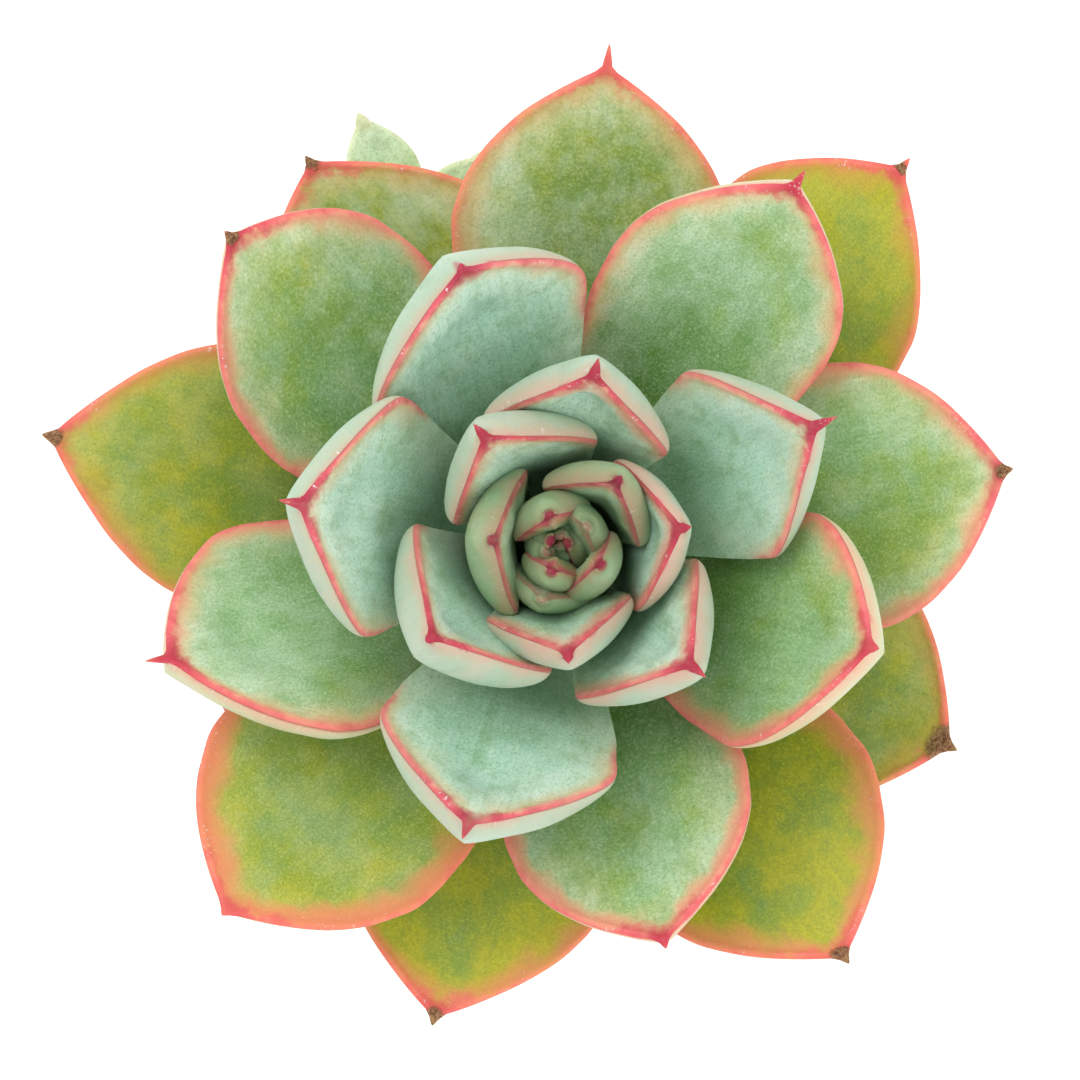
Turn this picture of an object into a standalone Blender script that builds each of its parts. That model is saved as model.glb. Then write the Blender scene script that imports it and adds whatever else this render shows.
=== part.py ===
"""Potted echeveria: a rosette of fleshy leaves on a short stem, a small offset beside it,
potting mix and a plain terracotta pot. Metres, +Z up, origin under the middle of the pot."""
import math

import bpy
import numpy as np
from mathutils import Vector

MM = 0.001

# ---- pot and soil ----------------------------------------------------------------------
POT_HEIGHT = 66 * MM
RIM_RADIUS = 42 * MM
RIM_BAND = 15 * MM          # height of the thicker collar
COLLAR_STEP = 2 * MM        # how far the collar stands out from the body
FOOT_RADIUS = 29 * MM
WALL = 4.5 * MM
FLOOR = 5 * MM
DRAIN_RADIUS = 5 * MM
POT_SIDES = 48
HEADSPACE = 3.8 * MM        # rim down to the soil
GAP = 0.3 * MM              # clearance between pieces that touch

# ---- the plant -------------------------------------------------------------------------
STEM_X = 4.3 * MM           # the stem stands a little off the pot's middle
STEM_Y = -0.7 * MM
ROSETTE_Z = 75 * MM         # height of the lowest leaf's base
LEAF_STEP = 0.75 * MM       # each younger leaf sits this much higher on the stem
STEM_RADIUS = 5.1 * MM
LEAF_FOOT = 5.5 * MM        # distance of a leaf's base from the stem's axis
STEM_IN_SOIL = 10 * MM
HEART_START = 16            # from this leaf on, the stem tapers to its tip

# The leaves from the oldest to the youngest. Angle (degrees, +X towards +Y), length, width
# (mm), lean above level at the base, further curl up towards the tip, cup of the cross-section
# and roll to one side (degrees), sideways set of the tip (mm), fullness of the shoulders,
# spine length (mm), the widest place as a share of the length, how straight the sides run up
# to it (0 rounded, 1 straight), thickness and roundness of the margin (mm).
LEAVES = [
    (332.0, 47, 31, 3, 12, 14, 0, 0.5, 2.1, 1, 0.62, 0, 6, 1.2),
    (119.0, 49, 31, 2, 12, 14, 0, 4, 2.3, 1, 0.62, 0, 6, 1.2),
    (255.0, 53, 33, 3, 12, 14, 0, 0, 2, 1, 0.62, 0, 6, 1.2),
    (44.5, 55, 31, 1, 12, 14, 0, 3.5, 2.3, 1.5, 0.62, 0, 6, 1.2),
    (168.0, 57, 32, 7, 10, 14, 0, 0, 1.9, 1, 0.6, 0, 6, 1.2),
    (302.5, 55, 33, 12, 10, 14, 0, 2, 2.2, 1, 0.62, 0, 6, 1.2),
    (84.5, 53, 33, 13, 12, 16, 0, 0, 2.2, 3, 0.62, 0, 6, 1.2),
    (229.0, 55, 33, 12, 14, 16, 0, -1.5, 2.6, 0.6, 0.62, 0, 6, 1.2),
    (9.0, 50, 32, 15, 14, 18, 0, 0.5, 2.2, 1, 0.62, 0, 6, 1.2),
    (141.5, 51, 30, 18, 16, 18, 6, -4, 2.5, 1, 0.62, 0, 6, 1.3),
    (284.5, 48, 30, 23, 18, 18, 8, 0, 2.1, 1.2, 0.64, 0, 6, 1.4),
    (57.0, 51, 29, 23, 20, 20, 8, 0, 2, 2.6, 0.64, 0, 6, 1.5),
    (202.8, 46.5, 29.2, 22, 20, 20, 18, -5.8, 2, 3, 0.64, 0, 5.6, 4.2),
    (334.0, 45, 29, 35, 28, 22, 8, 5, 1.9, 1, 0.66, 0.2, 6, 2.2),
    (119.0, 41, 30, 38, 30, 22, 6, -5.2, 1.9, 1, 0.7, 0.5, 6, 2.8),
    (254.0, 44, 29, 39, 32, 24, 0, -1.5, 1.3, 2.6, 0.68, 0.4, 6, 2.6),
    (26.0, 42, 25, 41, 30, 30, 0, -0.5, 1.15, 2.8, 0.64, 0.6, 4.3, 2.4),
    (171.0, 43, 29.5, 45.5, 29, 32, 0, 0, 1.4, 2.8, 0.69, 0.7, 4.2, 2.8),
    (310.0, 36, 22.5, 56.5, 27, 36, 10, 2.5, 1.2, 2.6, 0.62, 0.7, 4, 1.9),
    (85.0, 35, 23, 57, 25, 36, -5, -2, 1.1, 2.2, 0.62, 0.7, 4.4, 2.4),
    (217.0, 35, 24.6, 59, 27, 38, 6, -0.5, 1.2, 1, 0.62, 0.7, 5, 2.8),
    (8.0, 28.6, 19.5, 66.5, 17, 48, 0, 0, 2, 1.5, 0.62, 0.6, 2.4, 1.3),
    (115.5, 32, 21, 62.5, 24, 46, 5, 2.7, 1.1, 2.4, 0.6, 0.7, 3.7, 2.4),
    (269.5, 30, 18.8, 65, 26, 44, 10, 0.8, 1.05, 1.5, 0.6, 0.7, 2.8, 1.9),
    (51.0, 28, 16.2, 68, 30, 68, 8, -0.3, 1.05, 1.5, 0.6, 0.7, 2.2, 1.7),
    (176.0, 26, 18.5, 66, 40, 46, 0, 0, 1.1, 1.2, 0.6, 0.7, 2.9, 2.2),
    (319.0, 24, 10.4, 74, 34, 52, 4, 1.2, 1.1, 1, 0.6, 0.7, 1.8, 1.3),
    (113.0, 22, 10.5, 78, 28, 44, 0, 0, 1.1, 0.8, 0.6, 0.7, 2.2, 1.4),
    (249.0, 21, 8, 78, 28, 44, 0, 0, 1.1, 0.6, 0.6, 0.7, 1.7, 1.1),
    (18.0, 15, 7, 88, 20, 36, 0, 0, 1.2, 0.5, 0.6, 0.5, 2, 1),
    (160.0, 15, 5, 82, 24, 36, 0, 0, 1.2, 0.5, 0.6, 0.5, 1.7, 0.9),
]
# Young leaves are folded rather than cupped, thin out towards the shoulders, their tips turn
# back outwards, and they are plump near the tip but slim where they are packed together.
# First leaf of each group, fold, thinning, outward turn (degrees), how far in from the margin
# the full thickness is reached (share of the width), how far from the base (share of the
# length), and the thickness at the base (share of the full thickness).
GROUPS = [
    (0, 0.0, 0.3, 0, 0.42, 0.50, 0.45),
    (13, 0.5, 0.3, 14, 0.30, 0.72, 0.25),
    (14, 0.5, 0.7, 14, 0.30, 0.72, 0.25),
    (16, 0.9, 0.7, 26, 0.30, 0.72, 0.25),
]

# ---- the offset beside the stem ----------------------------------------------------------
OFFSET_X = -12.3 * MM
OFFSET_Y = 33 * MM
OFFSET_Z = 67.4 * MM
OFFSET_FOOT = 1.6 * MM
# Angle, length, width (mm) and lean (degrees) of its leaves.
OFFSET_LEAVES = [
    (113, 18.0, 9.0, 8),
    (254, 9.0, 7.0, 4),
    (62, 13.5, 8.0, 10),
    (185, 11.0, 7.0, 8),
    (318, 9.0, 6.5, 8),
    (90, 5.0, 4.5, 20),
    (235, 4.0, 3.6, 10),
]

ROWS = (0.0, 0.15, 0.3, 0.45, 0.57, 0.67, 0.76, 0.84, 0.91, 0.96, 1.0)
COLUMNS = 7


def half_width(s, length, width, fullness, spine, widest, corner, foot_share=0.32):
    """Half the leaf's width at s: 0 at the base, 1 at the end of the blade, then the spine."""
    if s < widest:
        rounded = math.sin(math.pi / 2 * s / widest) ** 1.3
        share = foot_share + (1 - foot_share) * ((1 - corner) * rounded + corner * (s / widest) ** 1.1)
    else:
        share = 1 - min((s - widest) / (1 - widest), 1.0) ** fullness
    blade = width / 2 * share
    back = (1 + spine / length - s) * length
    if back > spine + 2.5 * MM:
        return blade
    thorn = min(0.62 * MM * (max(back, 0.0) / spine) ** 0.8, 0.9 * MM)
    return max(blade, thorn)


def leaf_mesh(name, length, width, thickness, edge, lean, curl, cup, roll, sway, fullness, spine,
              widest, corner, fold, thinning, turn_back, shoulder, swell, slim):
    """A closed leaf with its base at the origin, growing along +X and leaning up from level."""
    rows = list(ROWS) + [1 + spine / length]
    fine = np.linspace(0, rows[-1], 400)
    near_tip = np.clip((fine - 0.78) / 0.22, 0, 1.3)
    angle = np.radians(lean + curl * np.clip(fine, 0, 1) ** 1.6 - turn_back * near_tip ** 2)
    step = (fine[1] - fine[0]) * length
    along = np.concatenate([[0], np.cumsum((np.cos(angle[1:]) + np.cos(angle[:-1])) / 2 * step)])
    rise = np.concatenate([[0], np.cumsum((np.sin(angle[1:]) + np.sin(angle[:-1])) / 2 * step)])
    widths = np.array([half_width(s, length, width, fullness, spine, widest, corner) for s in fine])
    taper = np.gradient(widths, fine * length)

    verts = []
    upper = []
    lower = []
    for s in rows:
        tilt = np.interp(s, fine, angle)
        half = np.interp(s, fine, widths)
        slope = min(max(np.interp(s, fine, taper), -1.5), 1.5)
        ramp = min(s / 0.5, 1.0)
        centre = Vector((np.interp(s, fine, along), 0, np.interp(s, fine, rise)))
        normal = Vector((-math.sin(tilt), 0, math.cos(tilt)))
        across = Vector((0, math.cos(math.radians(roll) * ramp), 0)) \
            + normal * math.sin(math.radians(roll) * ramp)
        normal = normal * math.cos(math.radians(roll) * ramp) \
            - Vector((0, math.sin(math.radians(roll) * ramp), 0))
        bend = max(math.radians(cup) * (fold + (1 - fold) * min(half / (width / 2), 1.0)), 1e-4)
        swollen = math.sin(math.pi / 2 * min(s / swell, 1.0)) ** 1.6
        full = thickness * (slim + (1 - slim) * swollen)
        top_row = []
        bottom_row = []
        for i in range(COLUMNS):
            u = math.sin((2 * i / (COLUMNS - 1) - 1) * math.pi / 2)
            side = half * math.sin(bend * u) / bend
            lift = half * (1 - math.cos(bend * u)) / bend
            top = centre + across * (side + sway * s * s) + normal * lift
            thin = 1 - thinning * (min(abs(side) / (width / 2), 1.0) * ramp) ** 3
            middle = full * thin
            rim = min(edge * thin, 0.9 * middle)
            inward = half * (1 - abs(u)) / math.sqrt(1 + slope * slope)
            depth = rim * math.sqrt(1 - (1 - min(inward / rim, 1.0)) ** 2)
            depth += (middle - rim) * math.sin(math.pi / 2 * min(inward / (shoulder * width), 1.0))
            facing = normal * math.cos(bend * u) - across * math.sin(bend * u)
            verts.append(top)
            top_row.append(len(verts) - 1)
            if 0 < i < COLUMNS - 1:
                verts.append(top - facing * depth)
            bottom_row.append(len(verts) - 1)
        upper.append(top_row)
        lower.append(bottom_row)

    # The last row closes to the point of the spine.
    point = upper[-1][COLUMNS // 2]
    upper[-1] = [point] * COLUMNS
    lower[-1] = [point] * COLUMNS
    faces = []
    for r in range(len(rows) - 1):
        for c in range(COLUMNS - 1):
            faces.append((upper[r][c], upper[r + 1][c], upper[r + 1][c + 1], upper[r][c + 1]))
            faces.append((lower[r][c], lower[r][c + 1], lower[r + 1][c + 1], lower[r + 1][c]))
    for c in range(COLUMNS - 1):
        faces.append((upper[0][c], upper[0][c + 1], lower[0][c + 1], lower[0][c]))
    return mesh_from(name, verts, faces)


def mesh_from(name, verts, faces):
    """Build a mesh, dropping repeated corners, unused points and faces with no area."""
    clean = []
    for face in faces:
        corners = []
        for corner in face:
            if corner not in corners:
                corners.append(corner)
        if len(corners) > 2:
            clean.append(corners)
    used = sorted({corner for face in clean for corner in face})
    number = {old: new for new, old in enumerate(used)}
    mesh = bpy.data.meshes.new(name)
    mesh.from_pydata([verts[i] for i in used], [], [[number[i] for i in face] for face in clean])
    mesh.update()
    mesh.polygons.foreach_set("use_smooth", [True] * len(mesh.polygons))
    return mesh


def lathe_mesh(name, profile, sides):
    """Turn a closed profile of (radius, height) about Z. A radius of 0 closes on the axis."""
    verts = []
    rings = []
    for radius, height in profile:
        if radius == 0:
            verts.append((0, 0, height))
            rings.append([len(verts) - 1] * sides)
            continue
        ring = []
        for k in range(sides):
            turn = 2 * math.pi * k / sides
            verts.append((radius * math.cos(turn), radius * math.sin(turn), height))
            ring.append(len(verts) - 1)
        rings.append(ring)
    faces = []
    for a in range(len(rings)):
        b = (a + 1) % len(rings)
        if profile[a][0] == 0 and profile[b][0] == 0:
            continue
        for k in range(sides):
            j = (k + 1) % sides
            faces.append((rings[a][k], rings[a][j], rings[b][j], rings[b][k]))
    return mesh_from(name, verts, faces)


def material(name, colour, roughness):
    mat = bpy.data.materials.new(name)
    mat.use_nodes = True
    shader = mat.node_tree.nodes["Principled BSDF"]
    shader.inputs["Base Color"].default_value = (*colour, 1)
    shader.inputs["Roughness"].default_value = roughness
    shader.inputs["Metallic"].default_value = 0
    mat.diffuse_color = (*colour, 1)
    return mat


def place(name, mesh, mat, location, turn=0.0, parent=None):
    obj = bpy.data.objects.new(name, mesh)
    mesh.materials.append(mat)
    obj.location = location
    obj.rotation_euler = (0, 0, turn)
    obj.parent = parent
    bpy.context.scene.collection.objects.link(obj)
    return obj


def heart_share(index):
    """0 on the lower stem, growing to 1 at the youngest leaf."""
    return max(0.0, (index - HEART_START) / (len(LEAVES) - HEART_START))


def leaf_foot(index):
    """How far this leaf's base is from the stem's axis."""
    return LEAF_FOOT * (1 - 0.85 * heart_share(index) ** 1.5)


for old in list(bpy.data.objects):
    bpy.data.objects.remove(old, do_unlink=True)

leaf_outer = material("leaf_outer", (0.36, 0.42, 0.10), 0.45)
leaf_middle = material("leaf_middle", (0.27, 0.45, 0.20), 0.48)
leaf_heart = material("leaf_heart", (0.28, 0.48, 0.33), 0.55)
stem_green = material("stem_green", (0.24, 0.26, 0.12), 0.70)
potting_mix = material("potting_mix", (0.045, 0.028, 0.017), 0.95)
terracotta = material("terracotta", (0.47, 0.19, 0.09), 0.85)

# ---- pot: one thrown and fired piece with a collar and a drain hole ------------------------
collar_foot = POT_HEIGHT - RIM_BAND
body_top = RIM_RADIUS - COLLAR_STEP
body_slope = (body_top - FOOT_RADIUS) / collar_foot
inner_foot = FOOT_RADIUS + body_slope * FLOOR - WALL
inner_top = RIM_RADIUS - WALL - 0.5 * MM
pot_profile = [
    (DRAIN_RADIUS, 0),
    (FOOT_RADIUS - 1 * MM, 0),
    (FOOT_RADIUS, 1 * MM),
    (body_top, collar_foot),
    (RIM_RADIUS - 0.8 * MM, collar_foot + 0.4 * MM),
    (RIM_RADIUS - 0.3 * MM, collar_foot + 1.4 * MM),
    (RIM_RADIUS, POT_HEIGHT - 1.6 * MM),
    (RIM_RADIUS - 0.5 * MM, POT_HEIGHT - 0.5 * MM),
    (RIM_RADIUS - 1.6 * MM, POT_HEIGHT),
    (inner_top + 1.2 * MM, POT_HEIGHT),
    (inner_top, POT_HEIGHT - 1.2 * MM),
    (inner_foot, FLOOR),
    (DRAIN_RADIUS, FLOOR),
]
place("pot", lathe_mesh("pot", pot_profile, POT_SIDES), terracotta, (0, 0, 0))

# ---- soil: fills the pot to just under the rim, with a hole where the stem goes in ----------
soil_top = POT_HEIGHT - HEADSPACE
wall_slope = (inner_top - inner_foot) / (POT_HEIGHT - 1.2 * MM - FLOOR)
soil_foot_radius = inner_foot - GAP * 1.3
soil_top_radius = inner_foot + wall_slope * (soil_top - FLOOR) - GAP * 1.3
soil_profile = [
    (0, FLOOR + GAP),
    (soil_foot_radius, FLOOR + GAP),
    (soil_top_radius, soil_top),
    (soil_top_radius * 0.72, soil_top + 0.5 * MM),
    (0, soil_top + 0.8 * MM),
]
soil = place("soil", lathe_mesh("soil", soil_profile, POT_SIDES), potting_mix, (0, 0, 0))
planting_depth = STEM_IN_SOIL + 0.5 * MM
hole_profile = [
    (0, 0),
    (STEM_RADIUS + GAP, 0),
    (STEM_RADIUS + GAP, planting_depth + 5 * MM),
    (0, planting_depth + 5 * MM),
]
hole_mesh = lathe_mesh("planting_hole", hole_profile, 32)
hole = place("planting_hole", hole_mesh, potting_mix, (STEM_X, STEM_Y, soil_top - planting_depth))
hole.hide_render = True
hole.display_type = "WIRE"
cut = soil.modifiers.new("planting_hole", "BOOLEAN")
cut.operation = "DIFFERENCE"
cut.solver = "EXACT"
cut.object = hole

# ---- the rosette: a short stem and its leaves ----------------------------------------------
rosette = bpy.data.objects.new("rosette", None)
rosette.location = (STEM_X, STEM_Y, ROSETTE_Z)
bpy.context.scene.collection.objects.link(rosette)

stem_foot = soil_top - STEM_IN_SOIL - ROSETTE_Z
stem_profile = [(0, stem_foot), (STEM_RADIUS - 1 * MM, stem_foot), (STEM_RADIUS, stem_foot + 1 * MM)]
stem_profile.append((STEM_RADIUS, LEAF_STEP * HEART_START))
for index in range(HEART_START + 2, len(LEAVES), 2):
    stem_profile.append((leaf_foot(index) - 0.5 * MM, LEAF_STEP * index))
stem_profile.append((0, LEAF_STEP * len(LEAVES)))
place("stem", lathe_mesh("stem", stem_profile, 24), stem_green, (0, 0, 0), parent=rosette)

for index, row in enumerate(LEAVES):
    (azimuth, length, width, lean, curl, cup, roll, sway, fullness, spine, widest, corner,
     thickness, edge) = row
    group = [group[1:] for group in GROUPS if index >= group[0]][-1]
    name = f"leaf_{index + 1:02d}"
    mesh = leaf_mesh(name, length * MM, width * MM, thickness * MM, edge * MM, lean, curl, cup, roll,
                     sway * MM, fullness, spine * MM, widest, corner, *group)
    turn = math.radians(azimuth)
    foot = leaf_foot(index)
    spot = (foot * math.cos(turn), foot * math.sin(turn), LEAF_STEP * index)
    mat = leaf_outer if index < 8 else leaf_middle if index < 13 else leaf_heart
    place(name, mesh, mat, spot, turn, rosette)

# ---- the offset: a small young rosette on a runner from the stem ----------------------------
offset = bpy.data.objects.new("offset", None)
offset.location = (OFFSET_X, OFFSET_Y, OFFSET_Z)
bpy.context.scene.collection.objects.link(offset)
for index, (azimuth, length, width, lean) in enumerate(OFFSET_LEAVES):
    name = f"offset_leaf_{index + 1}"
    mesh = leaf_mesh(name, length * MM, width * MM, 0.26 * width * MM, 0.5 * MM,
                     lean, 14, 24, 0, 0, 1.9, 0.8 * MM, 0.6, 0, 0, 0, 0, 0.42, 0.5, 0.45)
    turn = math.radians(azimuth)
    foot = OFFSET_FOOT * (1 if index < 5 else 0.45)
    spot = (foot * math.cos(turn), foot * math.sin(turn), 0.4 * MM * index)
    place(name, mesh, leaf_heart, spot, turn, offset)

# The runner leaves the stem under the lowest leaves and turns up into the offset.
away = Vector((OFFSET_X - STEM_X, OFFSET_Y - STEM_Y, 0))
reach = away.length
away.normalize()
start = Vector((STEM_X, STEM_Y, 64.8 * MM)) + away * (STEM_RADIUS + GAP)
below = Vector((OFFSET_X, OFFSET_Y, 64.6 * MM))
runner_path = [
    start,
    start + away * (reach * 0.30) + Vector((0, 0, 0.3 * MM)),
    start + away * (reach * 0.62),
    below - away * 2.6 * MM,
    below - away * 1.2 * MM + Vector((0, 0, 0.15 * MM)),
    below - away * 0.25 * MM + Vector((0, 0, 0.75 * MM)),
    below + Vector((0, 0, 1.9 * MM)),
    Vector((OFFSET_X, OFFSET_Y, OFFSET_Z + 0.8 * MM)),
]
runner_radius = (1.2, 1.2, 1.2, 1.1, 1.0, 1.0, 1.0, 0.9)
runner_sides = 10
side = Vector((-away.y, away.x, 0))
verts = []
rings = []
for index, centre in enumerate(runner_path):
    before = runner_path[max(index - 1, 0)]
    after = runner_path[min(index + 1, len(runner_path) - 1)]
    ahead = (after - before).normalized()
    up = ahead.cross(side)
    ring = []
    for k in range(runner_sides):
        turn = 2 * math.pi * k / runner_sides
        verts.append(centre + (side * math.cos(turn) + up * math.sin(turn)) * runner_radius[index] * MM)
        ring.append(len(verts) - 1)
    rings.append(ring)
faces = [rings[0][::-1], rings[-1]]
for a in range(len(rings) - 1):
    for k in range(runner_sides):
        j = (k + 1) % runner_sides
        faces.append((rings[a][k], rings[a][j], rings[a + 1][j], rings[a + 1][k]))
place("offset_runner", mesh_from("offset_runner", verts, faces), stem_green, (0, 0, 0))
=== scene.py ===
"""A potted echeveria: pot, potting mix, stem, thirty-one leaves, a small offset, and the studio
that shows it from straight above. Metres in the frame, millimetres in the tables."""
import math

import bpy
import numpy as np
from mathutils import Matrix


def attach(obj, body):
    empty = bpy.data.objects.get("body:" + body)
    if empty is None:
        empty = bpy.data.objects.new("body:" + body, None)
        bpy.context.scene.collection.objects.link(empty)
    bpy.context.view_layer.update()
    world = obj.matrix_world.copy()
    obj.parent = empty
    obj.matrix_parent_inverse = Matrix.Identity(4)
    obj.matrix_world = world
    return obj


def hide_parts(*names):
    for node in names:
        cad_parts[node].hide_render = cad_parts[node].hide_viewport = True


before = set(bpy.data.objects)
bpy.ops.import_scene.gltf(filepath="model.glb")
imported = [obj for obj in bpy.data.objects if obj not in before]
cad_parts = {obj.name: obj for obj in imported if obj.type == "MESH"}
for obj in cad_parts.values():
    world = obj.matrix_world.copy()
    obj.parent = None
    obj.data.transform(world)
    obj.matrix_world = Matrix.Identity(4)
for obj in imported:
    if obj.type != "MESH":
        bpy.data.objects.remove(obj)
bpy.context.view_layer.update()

# ==== Pot ===================================================================================
# A plain clay flowerpot, thrown or pressed in one piece and fired unglazed. It has a thick
# collar for lifting, a rounded lip, and one drain hole through the floor.
MM = 0.001
POT_HEIGHT = 66.0
POT_RIM = 42.0
POT_FOOT = 29.0
POT_COLLAR = 15.0
POT_WALL = 4.5
POT_FLOOR = 5.0
POT_DRAIN = 5.0
TURNING_PITCH = 2.6         # spacing of the shallow marks left by the potter's rib
TURNING_DEPTH = 0.10
POT_SIDES = 160
POT_SPACING = 0.65          # between points down its walls
LIME_REACH = 20.0           # how far up from its foot the lime goes
BODY_TOP = POT_RIM - 2.0
INSIDE_TOP = POT_RIM - POT_WALL - 0.5
INSIDE_FOOT = POT_FOOT + (BODY_TOP - POT_FOOT) / (POT_HEIGHT - POT_COLLAR) * POT_FLOOR - POT_WALL


def paint(red, green, blue):
    """A colour as picked on a screen, 0 to 255, turned into the linear values a shader wants."""
    linear = []
    for part in (red, green, blue):
        part = part / 255
        linear.append(part / 12.92 if part <= 0.04045 else ((part + 0.055) / 1.055) ** 2.4)
    return (*linear, 1.0)


def rounded(corners, steps=7):
    """A closed outline of (radius, height, rounding), with each corner turned into a small curve."""
    outline = []
    for i, (radius, height, size) in enumerate(corners):
        here = np.array([radius, height])
        if size == 0:
            outline.append(here)
            continue
        before = np.array(corners[i - 1][:2]) - here
        after = np.array(corners[(i + 1) % len(corners)][:2]) - here
        first = here + before / np.linalg.norm(before) * size
        last = here + after / np.linalg.norm(after) * size
        for t in np.linspace(0, 1, steps):
            outline.append(first * (1 - t) ** 2 + here * 2 * t * (1 - t) + last * t ** 2)
    return outline


def filled_in(outline, spacing):
    """Add points to the long straight runs of a closed outline."""
    dense = []
    for i, here in enumerate(outline):
        there = outline[(i + 1) % len(outline)]
        pieces = max(1, int(np.linalg.norm(there - here) / spacing))
        for k in range(pieces):
            dense.append(here + (there - here) * k / pieces)
    return dense


def turned(outline, sides, wobble=None):
    """Points and faces of a closed outline of (radius, height) turned about the upright axis."""
    points, rings, faces = [], [], []
    for radius, height in outline:
        if radius < 1e-6:
            points.append((0.0, 0.0, height))
            rings.append([len(points) - 1] * sides)
            continue
        ring = []
        for k in range(sides):
            turn = 2 * math.pi * k / sides
            out = radius + (wobble(turn, radius, height) if wobble else 0.0)
            points.append((out * math.cos(turn), out * math.sin(turn), height))
            ring.append(len(points) - 1)
        rings.append(ring)
    for a in range(len(rings)):
        b = (a + 1) % len(rings)
        for k in range(sides):
            j = (k + 1) % sides
            faces.append((rings[a][k], rings[a][j], rings[b][j], rings[b][k]))
    return np.array(points), faces


def piece(name, points, faces, finish, values=None, at=(0, 0, 0)):
    """A smooth object from points in millimetres. Values are named numbers kept on each point."""
    clean = []
    for face in faces:
        corners = list(dict.fromkeys(face))
        if len(corners) > 2:
            clean.append(corners)
    mesh = bpy.data.meshes.new(name)
    mesh.from_pydata(((np.asarray(points) + np.asarray(at)) * MM).tolist(), [], clean)
    mesh.polygons.foreach_set("use_smooth", [True] * len(mesh.polygons))
    for key, numbers in (values or {}).items():
        numbers = np.asarray(numbers, np.float32).ravel()
        kind, field = {1: ("FLOAT", "value"), 3: ("FLOAT_VECTOR", "vector"),
                       4: ("FLOAT_COLOR", "color")}[len(numbers) // len(points)]
        mesh.attributes.new(key, kind, "POINT").data.foreach_set(field, numbers)
    mesh.update()
    made = bpy.data.objects.new(name, mesh)
    mesh.materials.append(finish)
    bpy.context.scene.collection.objects.link(made)
    return made


def fill(tree, socket, value):
    """Give a socket a value, or join another node's output to it."""
    if isinstance(value, bpy.types.NodeSocket):
        tree.links.new(value, socket)
    else:
        socket.default_value = value


def put(tree, kind, wires=None, **settings):
    """Add a node. Wires fill its inputs, by name or number, with a value or another node's output."""
    made = tree.nodes.new(kind)
    for key, value in settings.items():
        setattr(made, key, value)
    for key, value in (wires or {}).items():
        fill(tree, made.inputs[key], value)
    return made


def sums(tree, operation, first, second=0.0, third=0.0, clamp=False):
    """One step of arithmetic."""
    wires = {0: first, 1: second, 2: third}
    return put(tree, "ShaderNodeMath", wires, operation=operation, use_clamp=clamp).outputs[0]


def times(tree, value, *others):
    """Multiply two or more values."""
    for other in others:
        value = sums(tree, "MULTIPLY", value, other)
    return value


def scaled(tree, value, by, plus):
    """The value times one thing, plus another."""
    return sums(tree, "MULTIPLY_ADD", value, by, plus)


def fade(tree, value, low, high, start=0.0, end=1.0):
    """Go smoothly from start to end while value goes from low to high."""
    wires = {0: value, 1: low, 2: high, 3: start, 4: end}
    return put(tree, "ShaderNodeMapRange", wires, interpolation_type="SMOOTHSTEP").outputs[0]


def between(tree, share, first, second):
    """Mix two colours."""
    made = put(tree, "ShaderNodeMix", data_type="RGBA", clamp_factor=True)
    for number, value in ((0, share), (6, first), (7, second)):
        fill(tree, made.inputs[number], value)
    return made.outputs[2]


def cloud(tree, place, size, detail=3.0, rough=0.55):
    """Soft noise, 0 to 1, with patches of about this size in millimetres."""
    wires = {"Vector": place, "Detail": detail, "Roughness": rough}
    if isinstance(size, bpy.types.NodeSocket):
        wires["Scale"] = sums(tree, "DIVIDE", 1.0, size)
    else:
        wires["Scale"] = 1.0 / size
    return put(tree, "ShaderNodeTexNoise", wires).outputs[0]


def effect(name, inputs, outputs):
    """A node group to fill. An input is a colour, a number, or a place where its value is None."""
    group = bpy.data.node_groups.new(name, "ShaderNodeTree")
    for label, value in inputs.items():
        kind = "Vector" if value is None else "Color" if isinstance(value, tuple) else "Float"
        socket = group.interface.new_socket(label, in_out="INPUT", socket_type="NodeSocket" + kind)
        if value is not None:
            socket.default_value = value
    for label in outputs:
        kind = "Color" if label == "Color" else "Float"
        group.interface.new_socket(label, in_out="OUTPUT", socket_type="NodeSocket" + kind)
    start = group.nodes.new("NodeGroupInput").outputs
    end = group.nodes.new("NodeGroupOutput").inputs
    return group, start, end


def use(tree, group, **wires):
    """Put a node group in a material. Underscores in the names stand for spaces."""
    made = put(tree, "ShaderNodeGroup", node_tree=group)
    for key, value in wires.items():
        fill(tree, made.inputs[key.replace("_", " ")], value)
    return made.outputs


def place_in_mm(tree):
    """Where a point lies on its object, in millimetres."""
    metres = put(tree, "ShaderNodeTexCoord").outputs["Object"]
    wires = {0: metres, "Scale": 1 / MM}
    return put(tree, "ShaderNodeVectorMath", wires, operation="SCALE").outputs[0]


def finish_named(name, seen, **constants):
    """A new material with one Principled shader. Constants go on the shader's own sockets."""
    made = bpy.data.materials.new(name)
    made.use_nodes = True
    made.diffuse_color = seen
    shader = made.node_tree.nodes["Principled BSDF"]
    shader.inputs["Base Color"].default_value = seen
    for key, value in constants.items():
        shader.inputs[key.replace("_", " ")].default_value = value
    return made, made.node_tree, shader


def wire_up(tree, shader, colour, roughness, height, strength=1.0):
    """Join colour, roughness and a height in millimetres to the shader."""
    tree.links.new(colour, shader.inputs["Base Color"])
    tree.links.new(roughness, shader.inputs["Roughness"])
    bump = put(tree, "ShaderNodeBump", {"Height": height, "Distance": MM, "Strength": strength})
    tree.links.new(bump.outputs[0], shader.inputs["Normal"])


GREY = (0.5, 0.5, 0.5, 1)   # stands in an effect's inputs until a material gives its own colour

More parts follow.
